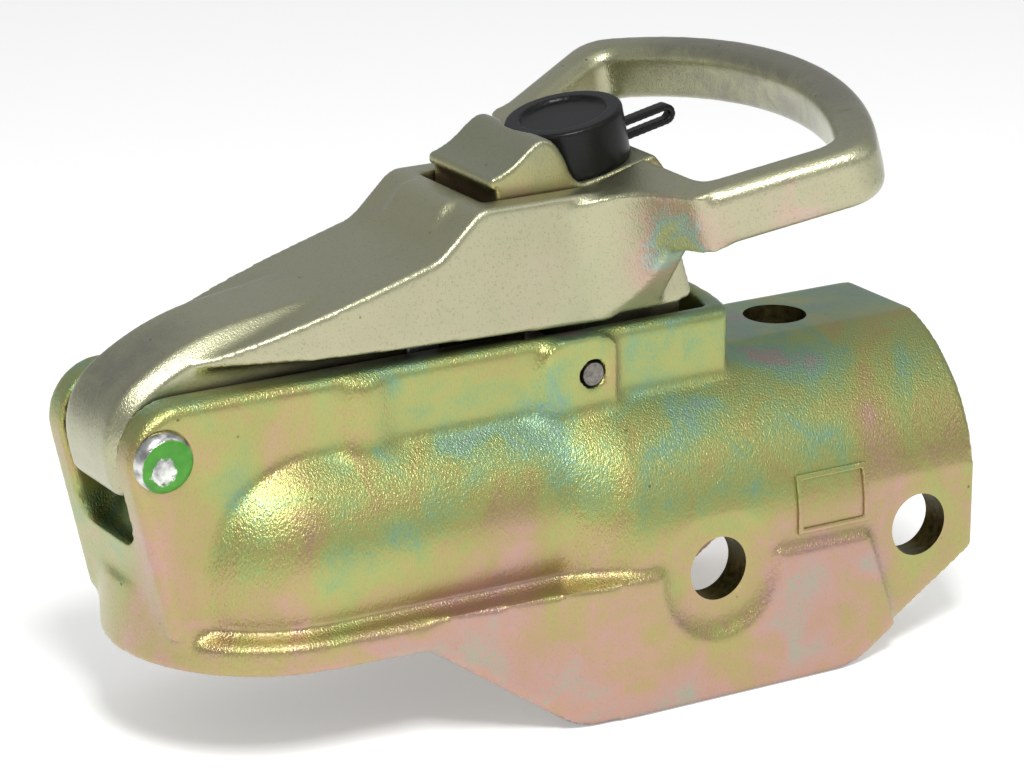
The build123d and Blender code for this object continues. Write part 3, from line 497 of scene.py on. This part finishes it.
# %% Housing
def round_bar(place_mm, axis, radius_mm, length_mm):
    """A round bar about a point, along an axis: a plug or a drill."""
    turn = Vector(axis).to_track_quat("Z", "Y").to_euler()
    bpy.ops.mesh.primitive_cylinder_add(
        vertices=72, radius=radius_mm * mm, depth=length_mm * mm,
        location=Vector(place_mm) * mm, rotation=turn,
    )
    return bpy.context.object


# Places and sizes in millimetres
bolt_x = (92.5, 146.5)
bolt_z = -13
top_bolt_x = 132
bore_radius = 7.25
plug_radius = bore_radius + 0.1
side_wall_y = 33.9
side_plug_length = 6.8
roof_z = 23.2
roof_plug_length = 11
plugs = [
    round_bar((x, side * side_wall_y, bolt_z), (0, 1, 0), plug_radius, side_plug_length)
    for x in bolt_x for side in (-1, 1)
]
plugs.append(round_bar((top_bolt_x, 0, roof_z), (0, 0, 1), plug_radius, roof_plug_length))
housing = soft_casting(
    "housing", "housing_casting", yellow_zinc,
    voxel_mm=0.85, rounds=6, hollow_rounds=40, share=0.7, plugs=plugs,
)

# %% [markdown]
# ## The rib and the catch block
# A rib on each cheek and the front of the catch block run out into the casting. More smoothing all over
# would melt every other edge too, so only what lies in a box is smoothed further. A vertex group that
# fades towards the walls of the box does that without a step.

# %% Melted rib and catch block
def melt(obj, low_mm, high_mm, fade_mm, rounds):
    """Smooths what lies in a box, on both sides of the part, less and less towards the box's walls."""
    group = obj.vertex_groups.new(name="melt")
    for vertex in obj.data.vertices:
        x, y, z = vertex.co / mm
        inside = min(
            min(place - low, high - place) for place, low, high in zip((x, abs(y), z), low_mm, high_mm)
        )
        if inside > 0:
            group.add([vertex.index], min(inside / fade_mm, 1.0), "REPLACE")
    apply_modifier(obj, "SMOOTH", factor=0.5, iterations=rounds, vertex_group=group.name)


# Low and high corners of the boxes in millimetres, with Y counted outwards from the middle
rib_box = (6, 18, 14), (22, 30, 39)
catch_front_box = (52, 18, 12), (62, 32, 37)
melt(housing, *rib_box, fade_mm=3, rounds=70)
melt(housing, *catch_front_box, fade_mm=3, rounds=50)
print("melted in", len(housing.vertex_groups) - 1, "boxes on each side")

# %% [markdown]
# ## The handle
# The handle is a thinner casting: a hood between the cheeks, a deck with a pocket, and a D grip. The
# webs under the grip's arms are thin, and their lower edge climbs steeply to the arm. They could be
# modelled anew, but it is simpler to cut two blocks away at each: one behind the web, one below its
# edge. Two bisects keep a block off the deck's wall and the arm.

# %% Handle
# Places and sizes in millimetres
grip_centre = Vector((110, 0, 82))
grip_tilt = Matrix.Rotation(radians(-16.7), 3, "Y")
arm_drop = -13.6
arm_underside = grip_centre + grip_tilt @ Vector((0, 0, arm_drop))
deck_wall_y = 20.4
block_size = 60


def web_cut(side, centre_mm, turn):
    """A block that is cut from the handle, outside the deck's wall and under the grip's arm."""
    bpy.ops.mesh.primitive_cube_add(
        size=1, location=centre_mm * mm, rotation=turn.to_euler(), scale=[block_size * mm] * 3
    )
    block = bpy.context.object
    bpy.ops.object.transform_apply(location=True, rotation=True, scale=True)
    bpy.ops.object.mode_set(mode="EDIT")
    for place, outward in (
        (Vector((0, side * deck_wall_y, 0)), Vector((0, -side, 0))),
        (arm_underside, grip_tilt @ Vector((0, 0, 1))),
    ):
        bpy.ops.mesh.select_all(action="SELECT")
        bpy.ops.mesh.bisect(plane_co=place * mm, plane_no=outward, use_fill=True, clear_outer=True)
    bpy.ops.object.mode_set(mode="OBJECT")
    return block


web_sweep = radians(21.2)
web_rear_x = -29.5
web_rear_y = 28
web_climb = radians(54)
web_foot_x = 80
web_foot_z = 43.5
web_cuts = []
for side in (-1, 1):
    sweep = grip_tilt @ Matrix.Rotation(-side * web_sweep, 3, "Z")
    web_rear = grip_centre + grip_tilt @ Vector((web_rear_x, side * web_rear_y, arm_drop))
    web_cuts.append(web_cut(side, web_rear + sweep @ Vector((block_size / 2, 0, 0)), sweep))
    climb = Matrix.Rotation(side * web_climb, 3, "X")
    web_foot = Vector((web_foot_x, side * deck_wall_y, web_foot_z))
    web_cuts.append(web_cut(side, web_foot + climb @ Vector((0, 0, -block_size / 2)), climb))
soft_casting(
    "handle", "handle_casting", pale_zinc,
    voxel_mm=0.65, rounds=10, hollow_rounds=38, share=0.8, trims=web_cuts,
)

# %% [markdown]
# ## The trigger
# The trigger is the smallest casting: a thumb lever that holds the lock, with a hook below. It goes the
# same way as the large ones, with finer voxels and all its faces kept, because its edges are small.

# %% Trigger
soft_casting(
    "trigger", "trigger_casting", golden_zinc,
    voxel_mm=0.55, rounds=9, hollow_rounds=24, share=1,
)

# %% [markdown]
# ## The bolt holes
# The holes are drilled after the casting and before the plating, so their rims are crisp and little of
# the bath's colour reaches the walls. They are a dark olive: the bare iron's own dull colour, with painted
# shade inside the bores added. Three booleans would do it, but the drills are joined, so one takes them all
# away at once, and the faces that it makes take the drills' own finish.

# %% Drilled holes
def plain_metal(name, colour, shade, roughness, mark_mm):
    """A bare metal with fine marks that change its colour and its gloss."""
    material, tree, output, place = new_material(name)
    marks = add_node(tree, "ShaderNodeTexNoise", {
        "Vector": place, "Scale": per_mm(mark_mm), "Detail": 4.0, "Roughness": 0.6,
    })
    tone = add_node(tree, "ShaderNodeValToRGB", {"Fac": marks.outputs["Fac"]}, stops=[
        (0.35, shade), (0.65, colour),
    ])
    gloss = add_node(tree, "ShaderNodeMapRange", {
        "Value": marks.outputs["Fac"], "To Min": roughness - 0.1, "To Max": roughness + 0.1,
    })
    relief = add_node(tree, "ShaderNodeBump", {
        "Strength": 0.4, "Distance": 0.03 * mm, "Height": marks.outputs["Fac"],
    })
    metal = add_node(tree, "ShaderNodeBsdfPrincipled", {
        "Base Color": tone.outputs["Color"], "Metallic": 1.0, "Roughness": gloss.outputs[0],
        "Normal": relief.outputs[0],
    })
    tree.links.new(metal.outputs[0], output.inputs["Surface"])
    return material


# The bore walls' dark olive is the bare iron's dull colour, darkened further as painted shade inside the
# holes
drilled_iron_with_bore_shade = plain_metal("drilled_iron_with_bore_shade", "#6A623E", "#433D28", roughness=0.45, mark_mm=1.5)
side_drill_length = 90
top_drill_z = 26
top_drill_length = 30
drills = [round_bar((x, 0, bolt_z), (0, 1, 0), bore_radius, side_drill_length) for x in bolt_x]
drills.append(round_bar((top_bolt_x, 0, top_drill_z), (0, 0, 1), bore_radius, top_drill_length))
for drill in drills:
    drill.data.materials.append(drilled_iron_with_bore_shade)
join_to(drills[0], drills[1:])
apply_modifier(
    housing, "BOOLEAN", operation="DIFFERENCE", object=drills[0], solver="EXACT",
    material_mode="TRANSFER",
)
bpy.data.objects.remove(drills[0])
take(housing)
rim_angle = radians(38)
bpy.ops.object.shade_smooth_by_angle(angle=rim_angle)
print("drilled:", len(housing.data.polygons), "faces,", len(housing.data.materials), "finishes")

# %% [markdown]
# ## The raised frame on the side
# A low bead runs round a box on the near side of the housing. It could be raised from the wall's own
# faces, but those are uneven after the remesh. So a flat frame, cut into short lengths, is laid on the
# side by a shrinkwrap and given a thickness, half of it inside the casting, and a fine remesh and
# smoothing turn it into a round bead. Then it is joined to the casting, as it is the same piece of iron.

# %% Raised frame
# Places and sizes in millimetres
bead_x, bead_y, bead_z = 122.5, -50, -2.3
bead_length, bead_height = 19, 13.4
bead_width = 1.3
bead_cuts = 11
bead_voxel = 0.22
bpy.ops.mesh.primitive_plane_add(
    size=1, location=(bead_x * mm, bead_y * mm, bead_z * mm), rotation=(radians(90), 0, 0)
)
bead = bpy.context.object
bead.scale = (bead_length * mm, bead_height * mm, 1)
bpy.ops.object.transform_apply(location=True, rotation=True, scale=True)
bpy.ops.object.mode_set(mode="EDIT")
bpy.ops.mesh.select_all(action="SELECT")
bpy.ops.mesh.inset(thickness=bead_width * mm)
bpy.ops.mesh.delete(type="FACE")
bpy.ops.mesh.select_all(action="SELECT")
bpy.ops.mesh.subdivide(number_cuts=bead_cuts)
bpy.ops.object.mode_set(mode="OBJECT")
apply_modifier(bead, "SHRINKWRAP", target=housing, wrap_method="PROJECT", use_project_y=True)
apply_modifier(bead, "SOLIDIFY", thickness=bead_width * mm, offset=0.0)
apply_modifier(bead, "REMESH", mode="VOXEL", voxel_size=bead_voxel * mm)
apply_modifier(bead, "SMOOTH", factor=0.5, iterations=6)
bead.data.materials.clear()
bead.data.materials.append(yellow_zinc)
bpy.ops.object.shade_smooth()
bead_reach = min(vertex.co.y for vertex in bead.data.vertices) / mm
print("bead:", len(bead.data.polygons), "faces, reaches y", round(bead_reach, 1), "mm")
join_to(housing, [bead])

# %% [markdown]
# ## The rivet
# The head of the pivot pin is bright zinc. It was dabbed with green paint when the part was tested, and
# handling has scraped some of it off again. The paint is a spot a little off the middle of the head,
# with a ragged edge and a bare patch. It could be painted on by hand, but a mask from a distance with
# some noise, less a second one, needs no picture. The pin's far end was never dabbed, so the mask stops
# at the middle of the part.

# %% Rivet with worn paint
ragged_grain_mm = 1.6
dent_mm = 2.5


def spot(tree, place, centre_mm, radius_mm, ragged_mm, soft_mm):
    """One inside a round spot across the part, seen along Y, and zero outside, with a ragged edge."""
    flat = add_node(tree, "ShaderNodeVectorMath", {0: place, 1: (1, 0, 1)}, operation="MULTIPLY")
    reach = add_node(tree, "ShaderNodeVectorMath", {
        0: flat.outputs[0], 1: (centre_mm[0] * mm, 0, centre_mm[1] * mm),
    }, operation="DISTANCE")
    rough = add_node(tree, "ShaderNodeTexNoise", {
        "Vector": place, "Scale": per_mm(ragged_grain_mm), "Detail": 4.0,
    })
    edge = add_node(tree, "ShaderNodeMath", {
        0: rough.outputs["Fac"], 1: ragged_mm * mm, 2: reach.outputs["Value"],
    }, operation="MULTIPLY_ADD")
    return add_node(tree, "ShaderNodeMapRange", {
        "Value": edge.outputs[0], "From Min": (radius_mm + ragged_mm / 2 - soft_mm) * mm,
        "From Max": (radius_mm + ragged_mm / 2 + soft_mm) * mm, "To Min": 1.0, "To Max": 0.0,
    }).outputs[0]


painted_rivet, tree, output, place = new_material("bright_zinc_with_worn_green_paint")
painted = spot(tree, place, centre_mm=(-32.7, 28.6), radius_mm=5.9, ragged_mm=0.8, soft_mm=0.12)
scraped = spot(tree, place, centre_mm=(-34.0, 28.0), radius_mm=2.7, ragged_mm=4.2, soft_mm=0.15)
bare = add_node(tree, "ShaderNodeMath", {0: 1.0, 1: scraped}, operation="SUBTRACT")
across = add_node(tree, "ShaderNodeSeparateXYZ", {0: place}).outputs["Y"]
near_end = add_node(tree, "ShaderNodeMath", {0: across, 1: 0.0}, operation="LESS_THAN").outputs[0]
cover = painted
for mask in (bare.outputs[0], near_end):
    cover = add_node(tree, "ShaderNodeMath", {0: cover, 1: mask}, operation="MULTIPLY").outputs[0]
dents = add_node(tree, "ShaderNodeTexNoise", {
    "Vector": place, "Scale": per_mm(dent_mm), "Detail": 3.0,
})
zinc = add_node(tree, "ShaderNodeValToRGB", {"Fac": dents.outputs["Fac"]}, stops=[
    (0.36, "#8E8F8F"), (0.6, "#D6D6D2"),
])
paint = add_node(tree, "ShaderNodeValToRGB", {"Fac": dents.outputs["Fac"]}, stops=[
    (0.3, "#317A14"), (0.7, "#428E20"),
])
tone = add_node(tree, "ShaderNodeMix", {
    0: cover, 6: zinc.outputs["Color"], 7: paint.outputs["Color"],
}, data_type="RGBA")
metallic = add_node(tree, "ShaderNodeMapRange", {"Value": cover, "To Min": 1.0, "To Max": 0.0})
gloss = add_node(tree, "ShaderNodeMapRange", {"Value": cover, "To Min": 0.24, "To Max": 0.38})
height = add_node(tree, "ShaderNodeMath", {
    0: dents.outputs["Fac"], 1: 0.5, 2: cover,
}, operation="MULTIPLY_ADD")
relief = add_node(tree, "ShaderNodeBump", {
    "Strength": 0.7, "Distance": 0.12 * mm, "Height": height.outputs[0],
})
coat = add_node(tree, "ShaderNodeBsdfPrincipled", {
    "Base Color": tone.outputs[2], "Metallic": metallic.outputs[0], "Roughness": gloss.outputs[0],
    "Normal": relief.outputs[0],
})
tree.links.new(coat.outputs[0], output.inputs["Surface"])
print("rivet finish:", painted_rivet.name)

# %% [markdown]
# ## Steel, brass and plastic
# The small pieces keep their solids and get their own finishes: ground steel pins, oiled spring wire, a
# greased jaw, a brass lock and a satin black cap, moulded with a fine texture. Each metal could have its
# own nodes, but they differ only in colour, gloss and the size of their marks, so they share one function.

# %% Small finishes
def moulded_plastic(name, colour, shade, roughness, grit_mm):
    """Satin ABS with a spark-eroded mould texture."""
    material, tree, output, place = new_material(name)
    grit = add_node(tree, "ShaderNodeTexNoise", {
        "Vector": place, "Scale": per_mm(grit_mm), "Detail": 3.0, "Roughness": 0.6,
    })
    tone = add_node(tree, "ShaderNodeValToRGB", {"Fac": grit.outputs["Fac"]}, stops=[
        (0.35, shade), (0.7, colour),
    ])
    relief = add_node(tree, "ShaderNodeBump", {
        "Strength": 0.4, "Distance": 0.04 * mm, "Height": grit.outputs["Fac"],
    })
    plastic = add_node(tree, "ShaderNodeBsdfPrincipled", {
        "Base Color": tone.outputs["Color"], "Roughness": roughness, "IOR": 1.33, "Normal": relief.outputs[0],
    })
    tree.links.new(plastic.outputs[0], output.inputs["Surface"])
    return material


ground_steel = plain_metal("ground_steel", "#9B9B98", "#76767A", roughness=0.36, mark_mm=1.2)
spring_wire = plain_metal("oiled_spring_wire", "#6E6D6B", "#4A4A4A", roughness=0.34, mark_mm=0.9)
jaw_steel = plain_metal("greased_hard_steel", "#5A5752", "#48453F", roughness=0.40, mark_mm=1.4)
lock_brass = plain_metal("machined_brass", "#B99A55", "#94783D", roughness=0.30, mark_mm=0.8)
black_abs = moulded_plastic("satin_black_abs", "#101011", "#080809", roughness=0.36, grit_mm=0.5)
print("finishes:", ground_steel.name, spring_wire.name, jaw_steel.name, lock_brass.name, black_abs.name)

# %% [markdown]
# ## The catch pin in its hole
# The catch pin sits in its hole with a narrow gap, which lies in shade. It could be a groove in the mesh, but
# at this size a painted shadow, a dark ring in the pin's finish, is enough. It is drawn by the distance from
# the pin's axis, only at its two ends, so the pin is bright steel between them when the handle is up.

# %% Catch pin
dowel_axis = (69, 31.5)
dowel_end_y = 22.3
dowel_with_gap_shadow = plain_metal("ground_dowel_in_its_hole", "#8B8781", "#69655F", roughness=0.42, mark_mm=0.9)
tree = dowel_with_gap_shadow.node_tree
metal = next(node for node in tree.nodes if node.type == "BSDF_PRINCIPLED")
place = next(node for node in tree.nodes if node.type == "TEX_COORD").outputs["Object"]
disc = spot(tree, place, dowel_axis, radius_mm=2.55, ragged_mm=0.3, soft_mm=0.08)
across = add_node(tree, "ShaderNodeSeparateXYZ", {0: place}).outputs["Y"]
reach = add_node(tree, "ShaderNodeMath", {0: across}, operation="ABSOLUTE").outputs[0]
between_ends = add_node(tree, "ShaderNodeMath", {
    0: reach, 1: dowel_end_y * mm,
}, operation="LESS_THAN").outputs[0]
steel = add_node(tree, "ShaderNodeMath", {0: disc, 1: between_ends}, operation="MAXIMUM").outputs[0]
tone = metal.inputs["Base Color"].links[0].from_socket
# Painted shadow of the gap: outside the disc, each end of the pin is near black
gap_shadow = add_node(tree, "ShaderNodeMix", {0: steel, 6: rgb("#100D08"), 7: tone}, data_type="RGBA")
tree.links.new(gap_shadow.outputs[2], metal.inputs["Base Color"])
print("ring on", dowel_with_gap_shadow.name, "past", dowel_end_y, "mm from the middle")

# %% [markdown]
# ## Finishes on the solids
# The pieces that keep their solids only need a material. A table of nodes and finishes is easier to read
# and to change than a line for each piece.

# %% Finishes on the solids
finishes = {
    "handle_pivot_pin": painted_rivet, "catch_pin": dowel_with_gap_shadow, "trigger_pin": ground_steel,
    "jaw_pin": ground_steel, "lock_cam": ground_steel, "lock_cam_screw": ground_steel,
    "ball_jaw": jaw_steel, "handle_spring": spring_wire,
    "lock_body": lock_brass, "lock_plug": lock_brass, "lock_wafers": lock_brass,
}
for node, finish in finishes.items():
    frame["nodes"][node].data.materials.clear()
    frame["nodes"][node].data.materials.append(finish)
print("finishes on", len(finishes), "nodes")

# %% [markdown]
# ## The spring under the thumb pad
# The trigger's spring is squeezed when the pad is pressed. A solid can't do that, and a spring that stays
# as it is would come through the pad. So a copy takes its place, with the spring wire's finish, and the
# distance along X from its foot to the pad's joint is worked out, but the copy keeps its shape. The pad
# tilts as it comes down, and the coil stays upright.

# %% Trigger spring
trigger_coil = copy_solid("trigger_spring", "trigger_coil")
bpy.ops.object.shade_smooth()
stand_for(trigger_coil, "trigger_spring", spring_wire)
coil_low, coil_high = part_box("trigger_spring")
press = next(joint for joint in frame["joints"] if joint["name"] == "trigger_press")
reach = press["pos_m"][0] - coil_low.x
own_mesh(trigger_coil)

# %% [markdown]
# ## The dust cap
# The cap is one moulding with a shallow dish in its top and a pull strap. Its edges are soft, as the
# mould's are, so it goes the same way as the castings, with much finer voxels to keep the thin strap.

# %% Dust cap
soft_casting(
    "dust_cap", "dust_cap_moulding", black_abs,
    voxel_mm=0.34, rounds=2, hollow_rounds=0, share=0.8,
)
